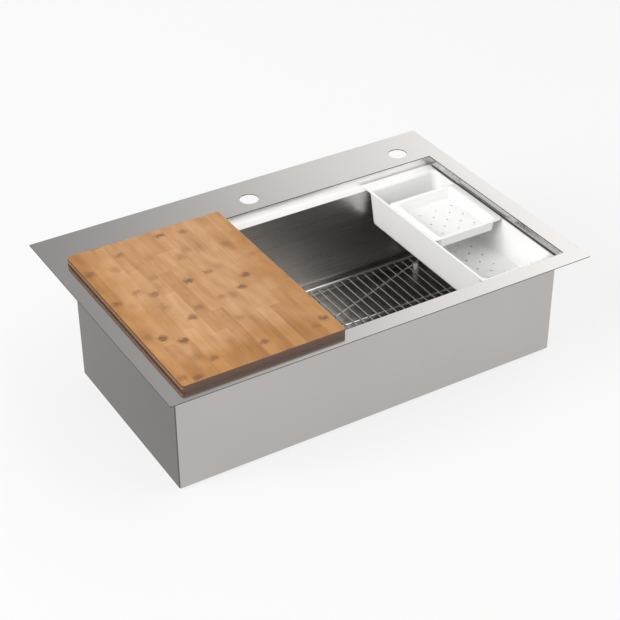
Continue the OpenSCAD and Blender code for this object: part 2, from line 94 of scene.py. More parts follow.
# Studio: the direction in which the surroundings get brighter, their strength along it,
# and the point that lamps aim at
STUDIO_SLOPE = (1.0, -0.4, -0.5)
STUDIO_RAMP = {"From Min": -0.338, "From Max": 0.192, "To Min": 0.37, "To Max": 1.5}
STUDIO_COLOUR = (1, 0.995, 0.985, 1)
LAMP_AIM = Vector((0.1, 0, 0.2))
FLOOR_SIZE = 24
FLOOR_TONE = 0.93
GLOW_TONE = 0.945
# Share of an even pale tone that the camera and the steel see on the floor, over its shaded colour
FLOOR_GLOW = 0.8

# Bin
BIN_WALL = 3.6 * MM
BIN_RIM = 3 * MM
BIN_RIM_OUT = 0.6 * MM
BIN_RIM_UNDER_EDGE = 0.5 * MM
BIN_SIDE_BEND = 1.2 * MM
BIN_END_GAP = 2.8 * MM
BIN_CORNER = 15 * MM
BIN_BOTTOM = 9 * MM
BIN_LEAN = (2 * MM, 13 * MM)
BIN_EDGE = 1.2 * MM
EAR_CORNER = 5 * MM
EAR_BEND = 8 * MM
EAR_ROOT_GAP = 1 * MM

# Tray
TRAY_WALL = 2.2 * MM
TRAY_RIM = 2 * MM
TRAY_RIM_CORNER = 8 * MM
TRAY_FLANGE = (12.7 * MM, 4 * MM)
TRAY_CORNER = 10 * MM
TRAY_BOTTOM = 3.5 * MM
TRAY_LEAN = 3 * MM
TRAY_EDGE = 0.7 * MM
TRAY_UNDER_EDGE = 0.4 * MM
TRAY_BEND = 2.2 * MM
TRAY_HOLE_SHIFT = 5 * MM
RIB_GAP = 0.6 * MM
RIB_WIDTH = 1.6 * MM
RIB_HEIGHT = 5 * MM
RIB_LENGTH = 100 * MM
RIB_EDGE = 0.4 * MM

# Strainer holes
HOLE_RADIUS = 2.4 * MM
HOLE_EDGE = 0.4 * MM
HOLE_STEPS = 20
HOLE_PITCH_X = 18.35 * MM
BIN_PITCH_Y = 17.5 * MM
TRAY_PITCH_Y = 18.5 * MM

# Rack
RAIL_RADIUS = 3 * MM
WIRE_RADIUS = 1.5 * MM
BAR_RADIUS = 2.5 * MM
RAIL_CORNER = 20 * MM
WIRE_PITCH = 18 * MM
WELD_OVERLAP = 0.15 * MM
# Weld beads on the bars and on the rail, and the place of a rail's bead as shares of the
# radii of the rail and the wire
BAR_BEAD = (2.1 * MM, 2.1 * MM, 0.8 * MM)
RAIL_BEAD = (1.5 * MM, 1.4 * MM, 1.2 * MM)
RAIL_BEAD_IN = 0.62
RAIL_BEAD_UP = 0.8


def add_camera():
    azimuth, elevation, roll = CAMERA_AZIMUTH, CAMERA_ELEVATION, CAMERA_ROLL
    back = Vector((math.sin(azimuth) * math.cos(elevation),
                   -math.cos(azimuth) * math.cos(elevation),
                   math.sin(elevation)))
    level = Vector((0, 0, 1)).cross(back).normalized()
    rise = back.cross(level)
    right = math.cos(roll) * level + math.sin(roll) * rise
    up = back.cross(right)
    place = right * CAMERA_PAN[0] + up * CAMERA_PAN[1] + back * CAMERA_DISTANCE
    place.z += CAMERA_LIFT
    data = bpy.data.cameras.new("camera")
    data.sensor_width = SENSOR_WIDTH
    data.lens = FOCAL_LENGTH
    data.clip_end = CAMERA_FAR
    camera = bpy.data.objects.new("camera", data)
    turn = Matrix((right, up, back)).transposed().to_4x4()
    camera.matrix_world = Matrix.Translation(place) @ turn
    bpy.context.scene.collection.objects.link(camera)
    bpy.context.scene.camera = camera


# ---- Materials ----

class Shader:
    """A material's node tree, with short calls that make and join its nodes."""

    def __init__(self, name):
        self.material = bpy.data.materials.new(name)
        self.material.use_nodes = True
        self.tree = self.material.node_tree
        self.surface = self.tree.nodes["Principled BSDF"]

    def feed(self, socket, value):
        if isinstance(value, bpy.types.NodeSocket):
            self.tree.links.new(value, socket)
        else:
            socket.default_value = value

    def node(self, kind, output=0, inputs=None, **settings):
        node = self.tree.nodes.new(kind)
        for key, value in settings.items():
            setattr(node, key, value)
        for key, value in (inputs or {}).items():
            self.feed(node.inputs[key], value)
        return node.outputs[output]

    def set(self, **values):
        for key, value in values.items():
            self.feed(self.surface.inputs[key.replace("_", " ").title().replace("Ior", "IOR")], value)

    def place(self):
        return self.node("ShaderNodeTexCoord", "Object")

    def stretched(self, scale):
        return self.node("ShaderNodeVectorMath", inputs={0: self.place(), 1: scale}, operation="MULTIPLY")

    def noise(self, vector, scale=1.0, detail=2.0, roughness=0.5):
        return self.node("ShaderNodeTexNoise", "Fac",
                         {"Vector": vector, "Scale": scale, "Detail": detail, "Roughness": roughness})

    def math(self, operation, a, b=0.0, c=0.0):
        return self.node("ShaderNodeMath", 0, {0: a, 1: b, 2: c}, operation=operation)

    def remap(self, value, low, high, to_low, to_high, smooth=False):
        spans = {"From Min": low, "From Max": high, "To Min": to_low, "To Max": to_high}
        return self.node("ShaderNodeMapRange", 0, {"Value": value, **spans},
                         interpolation_type="SMOOTHSTEP" if smooth else "LINEAR")

    def blend(self, share, a, b, mode="MIX"):
        node = self.tree.nodes.new("ShaderNodeMix")
        node.data_type = "RGBA"
        node.blend_type = mode
        colour_a, colour_b = [s for s in node.inputs if s.type == "RGBA"]
        self.feed(node.inputs[0], share)
        self.feed(colour_a, a)
        self.feed(colour_b, b)
        return [s for s in node.outputs if s.type == "RGBA"][0]

    def bump(self, height, strength, distance):
        normal = self.node("ShaderNodeBump", 0,
                           {"Height": height, "Strength": strength, "Distance": distance})
        self.feed(self.surface.inputs["Normal"], normal)

    def random(self, vector):
        return self.node("ShaderNodeTexWhiteNoise", "Value", {"Vector": vector}, noise_dimensions="3D")

    def combine(self, x, y, z=0.0):
        return self.node("ShaderNodeCombineXYZ", 0, {0: x, 1: y, 2: z})

    def split(self, vector):
        node = self.tree.nodes.new("ShaderNodeSeparateXYZ")
        self.feed(node.inputs[0], vector)
        return node.outputs


def colour(red, green, blue):
    return (red, green, blue, 1)


def brushed_steel(name, tone, roughness, anisotropy, streak, across, contrast=0.02, metallic=1.0):
    """Brushed sheet. streak scales the coordinates so that the noise runs along the brush
    marks, across is the direction over the surface that a highlight spreads in, and contrast
    is how far the marks are lighter or darker than the tone. With metallic under 1 the sheet
    is partly matt, so that the lamp lights it."""
    shader = Shader(name)
    fine = shader.noise(shader.stretched(streak), 1.0, 3.0, 0.6)
    cloud = shader.noise(shader.place(), 5.0, 2.0)
    marks = shader.remap(fine, 0.25, 0.75, 1 - contrast, 1 + contrast)
    clouds = shader.remap(cloud, 0.3, 0.7, 0.985, 1.015)
    level = shader.math("MULTIPLY", marks, clouds)
    shade = shader.combine(level, level, level)
    shader.set(base_color=shader.blend(1.0, colour(*tone), shade, "MULTIPLY"),
               metallic=metallic,
               roughness=shader.remap(fine, 0.25, 0.75, roughness - contrast, roughness + contrast),
               anisotropic=anisotropy,
               tangent=shader.combine(*across))
    shader.bump(fine, 1.2 * contrast, 0.0002)
    return shader.material


def white_plastic():
    shader = Shader("moulded_white_plastic")
    grain = shader.noise(shader.place(), 1400.0, 2.0)
    cloud = shader.noise(shader.place(), 30.0, 2.0)
    shader.set(base_color=shader.blend(cloud, colour(0.90, 0.90, 0.895), colour(0.925, 0.925, 0.92)),
               roughness=shader.remap(cloud, 0.3, 0.7, 0.34, 0.42))
    shader.bump(grain, 0.04, 0.0001)
    return shader.material


def bright_wire():
    shader = Shader("bright_wire")
    drawn = shader.noise(shader.stretched((300, 300, 300)), 1.0, 2.0)
    shader.set(base_color=shader.blend(drawn, colour(0.92, 0.92, 0.91), colour(0.97, 0.97, 0.97)),
               metallic=0.85,
               roughness=shader.remap(drawn, 0.3, 0.7, 0.18, 0.26))
    shader.bump(drawn, 0.03, 0.0001)
    return shader.material


def rubber(name, tone, roughness):
    shader = Shader(name)
    grain = shader.noise(shader.place(), 500.0, 3.0)
    darker = [0.8 * part for part in tone]
    shader.set(base_color=shader.blend(grain, colour(*tone), colour(*darker)),
               roughness=shader.remap(grain, 0.3, 0.7, roughness - 0.06, roughness + 0.06))
    shader.bump(grain, 0.15, 0.0002)
    return shader.material


def bamboo(name, light, dark, side, end_grain_and_shade):
    """Glued bamboo strips along Y, in lengths with butt joints, each with its own tone and
    a brown knuckle. The board's rim is more orange. Upright faces are drawn much darker than
    the top as painted shade, and the faces across the strips show their end grain, also darkened as painted
    shade."""
    strip_width = 0.0229
    strip_length = 0.205
    knuckle_reach = 0.0075
    knuckle_width = 0.42
    shader = Shader(name)
    x, y, z = shader.split(shader.place())
    low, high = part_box("board_top_ply")
    columns = shader.math("DIVIDE", shader.math("SUBTRACT", x, low.x), strip_width)
    column = shader.math("FLOOR", columns)
    u = shader.math("FRACT", columns)
    shift = shader.random(shader.combine(column, 3.7))
    shift = shader.math("MULTIPLY", shift, 7.0)
    rows = shader.math("ADD", shader.math("DIVIDE", y, strip_length), shift)
    row = shader.math("FLOOR", rows)
    v = shader.math("FRACT", rows)
    tone = shader.random(shader.combine(column, row, 1.3))

    fibre = shader.noise(shader.stretched((420, 7, 60)), 1.0, 4.0, 0.65)
    patch = shader.noise(shader.stretched((55, 16, 16)), 1.0, 3.0)
    share = shader.math("MULTIPLY", tone, 0.75)
    share = shader.math("ADD", share, shader.remap(patch, 0.3, 0.7, -0.25, 0.35))
    share = shader.math("ADD", share, shader.remap(fibre, 0.25, 0.75, -0.15, 0.18))
    wood = shader.blend(share, colour(*light), colour(*dark))

    def from_middle(value, start, stop):
        """0 in the middle of the span and 1 at its ends."""
        half = (stop - start) / 2
        off = shader.math("SUBTRACT", value, start + half)
        return shader.math("ABSOLUTE", shader.math("DIVIDE", off, half))

    rear = shader.remap(y, low.y, high.y, -0.08, 0.55)
    rim = shader.math("SUBTRACT", from_middle(y, low.y, high.y), rear)
    rim = shader.math("MAXIMUM", rim, shader.math("MULTIPLY", from_middle(x, low.x, high.x), 0.85))
    broad = shader.remap(shader.noise(shader.place(), 14.0, 3.0), 0.3, 0.7, -0.15, 0.15)
    orange = shader.remap(shader.math("ADD", rim, broad), 0.42, 0.88, 0.0, 1.0, True)
    wood = shader.blend(orange, wood, colour(0.80, 0.69, 0.45), "MULTIPLY")

    wobble = shader.remap(shader.noise(shader.place(), 150.0, 3.0), 0.3, 0.7, -0.0045, 0.0045)

    def knuckle(seed, size, sharpness, weakest, strongest):
        """Share of a brown mark at a random place in each length of strip."""
        centre = shader.remap(shader.random(shader.combine(column, row, seed)), 0, 1, 0.08, 0.92)
        middle = shader.remap(shader.random(shader.combine(column, row, seed + 0.7)), 0, 1, 0.35, 0.65)
        along = shader.math("MULTIPLY", shader.math("SUBTRACT", v, centre), strip_length)
        along = shader.math("DIVIDE", shader.math("ADD", along, wobble), size)
        over = shader.math("DIVIDE", shader.math("SUBTRACT", u, middle), knuckle_width)
        reach = shader.math("MULTIPLY", along, along)
        reach = shader.math("ADD", reach, shader.math("MULTIPLY", over, over))
        fade = shader.math("MULTIPLY", shader.math("POWER", reach, sharpness), -1.0)
        mark = shader.math("POWER", math.e, fade)
        strength = shader.random(shader.combine(column, row, seed + 1.5))
        return shader.math("MULTIPLY", mark, shader.remap(strength, 0, 1, weakest, strongest))

    brown = colour(dark[0] * 0.42, dark[1] * 0.38, dark[2] * 0.34)
    wood = shader.blend(knuckle(7.9, knuckle_reach, 1.7, 0.3, 0.95), wood, brown)
    wood = shader.blend(knuckle(4.2, 1.4 * knuckle_reach, 1.3, 0.0, 0.45), wood, brown)

    seam = shader.math("MINIMUM", u, shader.math("SUBTRACT", 1.0, u))
    seam = shader.remap(seam, 0.0, 0.03, 0.3, 0.0)
    wood = shader.blend(seam, wood, colour(dark[0] * 0.7, dark[1] * 0.62, dark[2] * 0.5))

    # Upright faces take the dark side and end grain tones: painted shade on the board's sides and ends
    normal = shader.split(shader.node("ShaderNodeNewGeometry", "Normal"))
    upright = shader.remap(shader.math("ABSOLUTE", normal[2]), 0.35, 0.85, 1.0, 0.0)
    across = shader.remap(shader.math("ABSOLUTE", normal[1]), 0.4, 0.8, 0.0, 1.0)
    layers = shader.noise(shader.stretched((30, 30, 900)), 1.0, 3.0)
    layers = shader.remap(layers, 0.3, 0.7, 0.8, 1.1)
    edge = shader.blend(across, colour(*side), colour(*end_grain_and_shade))
    edge = shader.blend(1.0, edge, shader.combine(layers, layers, layers), "MULTIPLY")
    shader.set(base_color=shader.blend(upright, wood, edge),
               roughness=shader.remap(fibre, 0.25, 0.75, 0.42, 0.56))
    shader.bump(fibre, 0.12, 0.0003)
    return shader.material


def dress(node_names, material):
    for name in node_names:
        data = NODES[name].data
        data.materials.clear()
        data.materials.append(material)


# ---- Meshes ----

def outline(x_span, y_span, radius, z, inset=(0.0, 0.0)):
    """Points of a rectangle with round corners, counterclockwise from its front right."""
    x0, x1 = x_span[0] + inset[0], x_span[1] - inset[0]
    y0, y1 = y_span[0] + inset[1], y_span[1] - inset[1]
    centres = ((x1 - radius, y0 + radius), (x1 - radius, y1 - radius),
               (x0 + radius, y1 - radius), (x0 + radius, y0 + radius))
    corners = []
    for quarter, (x, y) in enumerate(centres):
        turns = [math.radians(90 * (quarter - 1 + step / CORNER_STEPS)) for step in range(CORNER_STEPS + 1)]
        corners.append([Vector((x + radius * math.cos(t), y + radius * math.sin(t), z)) for t in turns])
    points = []
    for quarter in range(4):
        points += corners[quarter]
        start, end = corners[quarter][-1], corners[(quarter + 1) % 4][0]
        points += [start.lerp(end, step / SIDE_STEPS) for step in range(1, SIDE_STEPS)]
    return points


def circle(x, y, radius, z, steps):
    turns = [2 * math.pi * (step + 0.5) / steps - math.pi / 2 for step in range(steps)]
    return [Vector((x + radius * math.cos(t), y + radius * math.sin(t), z)) for t in turns]


def quarter_arc(steps):
    """Cosines and sines from 0 to 90 degrees."""
    return [(math.cos(math.radians(90 * i / steps)), math.sin(math.radians(90 * i / steps)))
            for i in range(steps + 1)]


class Mesh:
    """A bmesh under construction, with lofts between rings of points."""

    def __init__(self):
        self.bm = bmesh.new()
        self.slot = 0

    def face(self, verts):
        self.bm.faces.new(verts).material_index = self.slot

    def ring(self, points):
        return [self.bm.verts.new(point) for point in points]

    def bridge(self, first, second):
        count = len(first)
        for i in range(count):
            j = (i + 1) % count
            self.face((first[i], first[j], second[j], second[i]))

    def loft(self, rings):
        """Joins rings of points one after the other and returns their first and last rings."""
        made = [self.ring(points) for points in rings]
        for first, second in zip(made, made[1:]):
            self.bridge(first, second)
        return made[0], made[-1]

    def fill(self, outer, holes=()):
        """Flat face inside a ring, with holes."""
        loops = [outer, *holes]
        verts = [vert for loop in loops for vert in loop]
        for triangle in tessellate_polygon([[vert.co for vert in loop] for loop in loops]):
            self.face([verts[i] for i in triangle])

    def prism(self, section, start, end):
        """Solid between a section's points at start and the same points at end."""
        first = self.ring([start + point for point in section])
        second = self.ring([end + point for point in section])
        self.bridge(first, second)
        self.fill(first)
        self.fill(second)

    def object(self, name, *materials):
        bmesh.ops.remove_doubles(self.bm, verts=self.bm.verts, dist=1e-7)
        bmesh.ops.recalc_face_normals(self.bm, faces=self.bm.faces)
        for face in self.bm.faces:
            face.smooth = True
        for edge in self.bm.edges:
            if len(edge.link_faces) == 2 and edge.calc_face_angle(0) > SHARP_ANGLE:
                edge.smooth = False
        mesh = bpy.data.meshes.new(name)
        self.bm.to_mesh(mesh)
        self.bm.free()
        for material in materials:
            mesh.materials.append(material)
        thing = bpy.data.objects.new(name, mesh)
        bpy.context.scene.collection.objects.link(thing)
        weight = thing.modifiers.new("flat_faces_stay_flat", "WEIGHTED_NORMAL")
        weight.keep_sharp = True
        return thing


def place(thing, body, slot, *nodes):
    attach(thing, body)
    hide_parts(*nodes)


# ---- Sink ----

def plate_rings(shape, low, high, edge):
    """Rings up the side of a plate with rounded edges. shape(inset, z) gives an outline."""
    arc = quarter_arc(3)
    bottom = [shape(edge * (1 - s), low + edge * (1 - c)) for c, s in arc]
    top = [shape(edge * (1 - c), high - edge * (1 - s)) for c, s in arc]
    return bottom + top


def make_deck(material, edge_painted_shade_material):
    low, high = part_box("deck_plate")
    hole_y = frame_mount("tap_hole_middle")[1]
    open_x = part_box("bowl_wall_right")[0].x
    open_y = (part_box("recess_wall_front")[1].y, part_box("recess_wall_rear")[0].y)
    mesh = Mesh()
    # Slot 1 is the deck's edge faces, drawn in near-black steel as painted shade: a thin dark line along
    # every edge
    mesh.slot = 1
    outer = mesh.loft(plate_rings(
        lambda inset, z: outline((low.x, high.x), (low.y, high.y), BOX_CORNER, z, (inset, inset)),
        low.z, high.z, DECK_EDGE))
    inner = [mesh.loft(plate_rings(
        lambda inset, z: outline((-open_x, open_x), open_y, DECK_EDGE + inset, z, (-inset, -inset)),
        low.z, high.z, DECK_EDGE))]
    for name in ("tap_hole_middle", "tap_hole_right"):
        hole_x = frame_mount(name)[0]
        inner.append(mesh.loft(plate_rings(
            lambda inset, z, x=hole_x: circle(x, hole_y, TAP_RADIUS + inset, z, TAP_STEPS),
            low.z, high.z, DECK_EDGE)))
    mesh.slot = 0
    for end in (0, 1):
        mesh.fill(outer[end], [rings[end] for rings in inner])
    place(mesh.object("deck", material, edge_painted_shade_material), "sink", "deck_steel", "deck_plate")


def frame_mount(name):
    """Place of a mount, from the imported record."""
    return next(m["pos_m"] for m in frame["record"]["mounts"] if m["name"] == name)


def floor_height(x, y, half_x, half_y, middle_y, edge_z):
    """Height of the creased floor, which falls from its edges to its middle."""
    return edge_z - FLOOR_FALL * max(0.0, min(1 - abs(x) / half_x, 1 - abs(y - middle_y) / half_y))


def make_bowl(wall_material, inside_material, left_shade_material, end_material):
    """Welded box: walls with round upright corners, folds, creased floor and drain seat."""
    x1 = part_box("bowl_wall_right")[0].x
    y0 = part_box("bowl_wall_front")[1].y
    y1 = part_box("bowl_wall_rear")[0].y
    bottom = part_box("bowl_floor")[0].z
    wall_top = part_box("bowl_wall_front")[1].z
    deck_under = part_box("bowl_wall_left")[1].z
    edge_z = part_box("sound_pads")[0].z + PAD_THICKNESS + SHEET
    middle_y = (y0 + y1) / 2
    xs, ys = (-x1, x1), (y0, y1)
    arc = quarter_arc(5)
    inner_fold = FLOOR_FOLD - SHEET
    inner_corner = BOX_CORNER
    outer_corner = BOX_CORNER + SHEET
    mesh = Mesh()

    def inside(inset, z):
        return outline(xs, ys, max(inner_corner - inset, BOX_LEAST_CORNER), z, (inset, inset))

    def outside(inset, z):
        return outline((-x1 - SHEET, x1 + SHEET), (y0 - SHEET, y1 + SHEET),
                       max(outer_corner - inset, BOX_LEAST_CORNER), z, (inset, inset))

    outer_fold_rings = [outside(FLOOR_FOLD * (1 - s), edge_z - SHEET + FLOOR_FOLD * (1 - c))
                        for c, s in arc]
    inner_fold_rings = [inside(inner_fold * (1 - c), edge_z + inner_fold * (1 - s)) for c, s in arc]
    first, brim = mesh.loft(outer_fold_rings + [outside(0, wall_top)])
    mesh.slot = 1
    start, last = mesh.loft([inside(0, wall_top)] + inner_fold_rings)
    mesh.bridge(brim, start)

    count = len(last)
    half_x, half_y = x1 - inner_fold, (y1 - y0) / 2 - inner_fold

    def seat_ring(radius, height):
        """Ring about the drain. height is a level, or gives the height at a place."""
        points = []
        for i in range(count):
            turn = 2 * math.pi * (i - CORNER_STEPS / 2) / count - math.pi / 4
            x, y = radius * math.cos(turn), middle_y + radius * math.sin(turn)
            points.append(Vector((x, y, height(x, y) if callable(height) else height)))
        return points

    def creased(edge_height):
        return lambda x, y: floor_height(x, y, half_x, half_y, middle_y, edge_height)

    rings = [seat_ring(SEAT_RADIUS + SEAT_FLARE, creased(edge_z)),
             seat_ring(SEAT_RADIUS + SEAT_LEAN, bottom + SHEET),
             seat_ring(DRAIN_RADIUS + DRAIN_EDGE, bottom + SHEET),
             seat_ring(DRAIN_RADIUS, bottom + SHEET - DRAIN_EDGE),
             seat_ring(DRAIN_RADIUS, bottom),
             seat_ring(SEAT_RADIUS + SHEET, bottom),
             seat_ring(SEAT_RADIUS + SEAT_FLARE + SHEET, creased(edge_z - SHEET))]
    seat = [mesh.ring(points) for points in rings]
    mesh.bridge(last, seat[0])
    for a, b in zip(seat, seat[1:]):
        mesh.bridge(a, b)
    mesh.slot = 0
    mesh.bridge(seat[-1], first)
    # The left wall's outer face has a slot of its own, a darker copy of the wall steel as painted shade
    for face in mesh.bm.faces:
        face.normal_update()
        sideways = abs(face.normal.x) > SIDE_FACING
        if face.material_index == 0 and sideways and face.calc_center_median().x < 0:
            face.material_index = 2
    bowl = mesh.object("bowl", wall_material, inside_material, left_shade_material)

    # Upper ends of the left and right walls, which close the recess
    shoulders = Mesh()
    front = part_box("bowl_wall_right")[0].y
    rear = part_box("bowl_wall_right")[1].y
    for side in (-1, 1):
        ring = [shoulders.ring([Vector((side * (x1 + x), y, z)) for x, z in
                                ((0, wall_top), (0, deck_under), (SHEET, deck_under), (SHEET, wall_top))])
                for y in (front, rear)]
        shoulders.bridge(*ring)
        for end in ring:
            shoulders.fill(end)
    ends = shoulders.object("recess_ends", end_material)
    place(bowl, "sink", "bowl_steel", "bowl_floor", "bowl_wall_front", "bowl_wall_rear")
    place(ends, "sink", "bowl_steel", "bowl_wall_left", "bowl_wall_right")


def make_ledge(name, wall, ledge, side, material):
    """Sheet that drops from the deck, folds and forms the ledge. side is -1 at the front."""
    x1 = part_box("bowl_wall_right")[0].x
    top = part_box(wall)[1].z
    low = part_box(ledge)[0].z
    if side < 0:
        outer_y, bowl_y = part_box(wall)[0].y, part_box(ledge)[1].y
    else:
        outer_y, bowl_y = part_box(wall)[1].y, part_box(ledge)[0].y
    arc = quarter_arc(6)
    inner_fold = LEDGE_FOLD - SHEET
    points = [(0, top - low)]
    points += [(LEDGE_FOLD * (1 - c), LEDGE_FOLD * (1 - s)) for c, s in arc]
    width = abs(bowl_y - outer_y)
    points += [(width, 0)]
    points += [(width - LEDGE_EDGE * (1 - c), SHEET - LEDGE_EDGE * (1 - s)) for c, s in arc]
    points += [(SHEET + inner_fold * (1 - c), SHEET + inner_fold * (1 - s)) for c, s in reversed(arc)]
    points += [(SHEET, top - low)]
    section = [Vector((0, outer_y - side * a, low + b)) for a, b in points]
    mesh = Mesh()
    mesh.prism(section, Vector((-x1, 0, 0)), Vector((x1, 0, 0)))
    place(mesh.object(name, material), "sink", "bowl_steel", wall, ledge)


# ---- Bin and tray ----

def hole_places(columns, rows, pitch_y, first, centre):
    """Places of the strainer holes: every other one of a grid."""
    return [Vector((centre[0] + (column - (columns - 1) / 2) * HOLE_PITCH_X,
                    centre[1] + (row - (rows - 1) / 2) * pitch_y))
            for row in range(rows) for column in range(columns)
            if (row + column + first) % 2 == 0]


def tub_rings(centre, half, corner, lean, bottom_radius, low, high, start):
    """Rings of a leaning tub from start down to its flat floor, as outlines."""
    arc = quarter_arc(6)
    corner_low = corner - min(lean)

    def wall(z):
        share = min(1.0, (high - z) / (high - low - bottom_radius))
        return [half[i] - lean[i] * share for i in (0, 1)], corner - min(lean) * share

    rings = []
    for step in range(WALL_STEPS + 1):
        z = start + (low + bottom_radius - start) * step / WALL_STEPS
        size, radius = wall(z)
        rings.append(((size[0], size[1]), radius, z))
    size = [half[i] - lean[i] for i in (0, 1)]
    for c, s in arc[1:]:
        inset = bottom_radius * (1 - c)
        rings.append(((size[0] - inset, size[1] - inset), max(corner_low - inset, TUB_LEAST_CORNER),
                      low + bottom_radius * (1 - s)))
    return [centred_outline(centre, size, radius, z) for size, radius, z in rings]


def centred_outline(centre, half, radius, z):
    return outline((centre[0] - half[0], centre[0] + half[0]),
                   (centre[1] - half[1], centre[1] + half[1]), radius, z)


def holed_floor(mesh, upper, lower, places, top_z, under_z):
    """Floor between two rings, with strainer holes that have rounded rims."""
    tops, unders = [], []
    for hole in places:
        def ring(grow, z):
            return circle(hole.x, hole.y, HOLE_RADIUS + grow, z, HOLE_STEPS)
        first, last = mesh.loft([ring(HOLE_EDGE, top_z), ring(HOLE_EDGE * 0.3, top_z - HOLE_EDGE * 0.3),
                                 ring(0, top_z - HOLE_EDGE), ring(0, under_z)])
        tops.append(first)
        unders.append(last)
    mesh.fill(upper, tops)
    mesh.fill(lower, unders)


def make_bin(material):
    low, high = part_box("bin")
    centre = ((low.x + high.x) / 2, (low.y + high.y) / 2)
    top, floor = high.z, low.z
    half_x = (high.x - low.x) / 2 - BIN_RIM_OUT
    half_y = (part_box("bowl_wall_rear")[0].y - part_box("bowl_wall_front")[1].y) / 2 - BIN_END_GAP
    rim_x, rim_y = (low.x, high.x), (low.y, high.y)
    arc = quarter_arc(4)

    def rim(inset, z):
        return outline(rim_x, rim_y, EAR_CORNER - inset, z, (inset, inset))

    # Outer side: rim's edge, flat under the ears, swollen root, wall and bottom
    outer = [rim(BIN_EDGE * (1 - c), top - BIN_EDGE * (1 - s)) for c, s in reversed(arc)]
    under = top - BIN_RIM
    outer += [rim(BIN_RIM_UNDER_EDGE * (1 - c), under + BIN_RIM_UNDER_EDGE * (1 - s)) for c, s in arc]
    root = BIN_END_GAP - EAR_ROOT_GAP
    lean = [part / (top - floor - BIN_BOTTOM) for part in BIN_LEAN]
    depth = EAR_BEND - BIN_RIM
    for c, s in quarter_arc(5):
        z = under - depth * s
        size = (half_x - lean[0] * (top - z) * s,
                half_y - lean[1] * EAR_BEND + (root + lean[1] * EAR_BEND) * (1 - s))
        outer.append(centred_outline(centre, size, BIN_CORNER, z))
    outer += tub_rings(centre, (half_x, half_y), BIN_CORNER, BIN_LEAN, BIN_BOTTOM,
                       floor, top, top - EAR_BEND)[1:]

    # Inner side: top of the rim, bend into the end walls, wall and floor
    inner_half = (half_x - BIN_WALL, half_y - BIN_WALL)
    inner_top = top + BIN_WALL
    inner_low = floor + BIN_WALL
    inner_bottom = BIN_BOTTOM - BIN_WALL
    slope = [part / (inner_top - inner_low - inner_bottom) for part in BIN_LEAN]
    start = top - EAR_BEND
    end_at_start = inner_half[1] - slope[1] * (inner_top - start)
    inner = []
    for c, s in reversed(quarter_arc(8)):
        z = top - EAR_BEND * (1 - s)
        bent = min(1.0, max(0.0, 1 - (top - z) / BIN_SIDE_BEND))
        side = BIN_SIDE_BEND * (1 - math.cos(math.asin(bent)))
        size = (inner_half[0] - slope[0] * (inner_top - z) + side, end_at_start + EAR_BEND * (1 - c))
        inner.append(centred_outline(centre, size, BIN_CORNER - BIN_WALL, z))
    inner += tub_rings(centre, inner_half, BIN_CORNER - BIN_WALL, BIN_LEAN, inner_bottom,
                       inner_low, inner_top, start)[1:]

    mesh = Mesh()
    outer_first, outer_last = mesh.loft(outer)
    inner_first, inner_last = mesh.loft(inner)
    mesh.bridge(outer_first, inner_first)
    places = hole_places(5, 13, BIN_PITCH_Y, 0, centre)
    holed_floor(mesh, inner_last, outer_last, places, inner_low, floor)
    place(mesh.object("colander_bin", material), "bin", "white_plastic", "bin")


def add_rib(mesh, x, y, under):
    """Rib under the tray's flange, just inside the bin's rim, with eased lower edges."""
    half = RIB_WIDTH / 2
    low = under - RIB_HEIGHT
    corners = ((-half, under + RIB_EDGE), (-half, low + RIB_EDGE), (-half + RIB_EDGE, low),
               (half - RIB_EDGE, low), (half, low + RIB_EDGE), (half, under + RIB_EDGE))
    section = [Vector((x + across, y, z)) for across, z in corners]
    reach = Vector((0, RIB_LENGTH / 2, 0))
    mesh.prism(section, -reach, reach)


def make_tray(material):
    low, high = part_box("tray")
    centre = ((low.x + high.x) / 2, (low.y + high.y) / 2)
    top, floor = high.z, low.z
    rim_x, rim_y = (low.x, high.x), (low.y, high.y)
    half = ((high.x - low.x) / 2 - TRAY_FLANGE[0], (high.y - low.y) / 2 - TRAY_FLANGE[1])
    lean = (TRAY_LEAN, TRAY_LEAN)
    arc = quarter_arc(4)
    under = top - TRAY_RIM

    def rim(inset, z):
        return outline(rim_x, rim_y, TRAY_RIM_CORNER - inset, z, (inset, inset))

    outer = [rim(TRAY_EDGE * (1 - c), top - TRAY_EDGE * (1 - s)) for c, s in reversed(arc)]
    outer += [rim(TRAY_UNDER_EDGE * (1 - c), under + TRAY_UNDER_EDGE * (1 - s)) for c, s in arc]
    outer += tub_rings(centre, half, TRAY_CORNER, lean, TRAY_BOTTOM, floor, top, under)

    inner_half = (half[0] - TRAY_WALL, half[1] - TRAY_WALL)
    inner_top = top + TRAY_WALL
    inner_low = floor + TRAY_WALL
    inner_bottom = TRAY_BOTTOM - TRAY_WALL
    slope = TRAY_LEAN / (inner_top - inner_low - inner_bottom)
    start = top - TRAY_BEND
    inner = []
    for c, s in reversed(quarter_arc(6)):
        z = top - TRAY_BEND * (1 - s)
        grow = TRAY_BEND * (1 - c) - slope * (inner_top - start)
        size = (inner_half[0] + grow, inner_half[1] + grow)
        inner.append(centred_outline(centre, size, TRAY_CORNER - TRAY_WALL + TRAY_BEND * (1 - c), z))
    inner += tub_rings(centre, inner_half, TRAY_CORNER - TRAY_WALL, lean, inner_bottom,
                       inner_low, inner_top, start)[1:]

    mesh = Mesh()
    outer_first, outer_last = mesh.loft(outer)
    inner_first, inner_last = mesh.loft(inner)
    mesh.bridge(outer_first, inner_first)
    places = hole_places(6, 5, TRAY_PITCH_Y, 1, (centre[0], centre[1] + TRAY_HOLE_SHIFT))
    holed_floor(mesh, inner_last, outer_last, places, inner_low, floor)

    bin_low, bin_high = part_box("bin")
    mouth = (bin_high.x - bin_low.x) / 2 - BIN_RIM_OUT - BIN_WALL
    for side in (-1, 1):
        add_rib(mesh, centre[0] + side * (mouth - RIB_GAP - RIB_WIDTH / 2), centre[1], under)
    place(mesh.object("strainer_tray", material), "tray", "white_plastic", "tray")


# ---- Rack ----

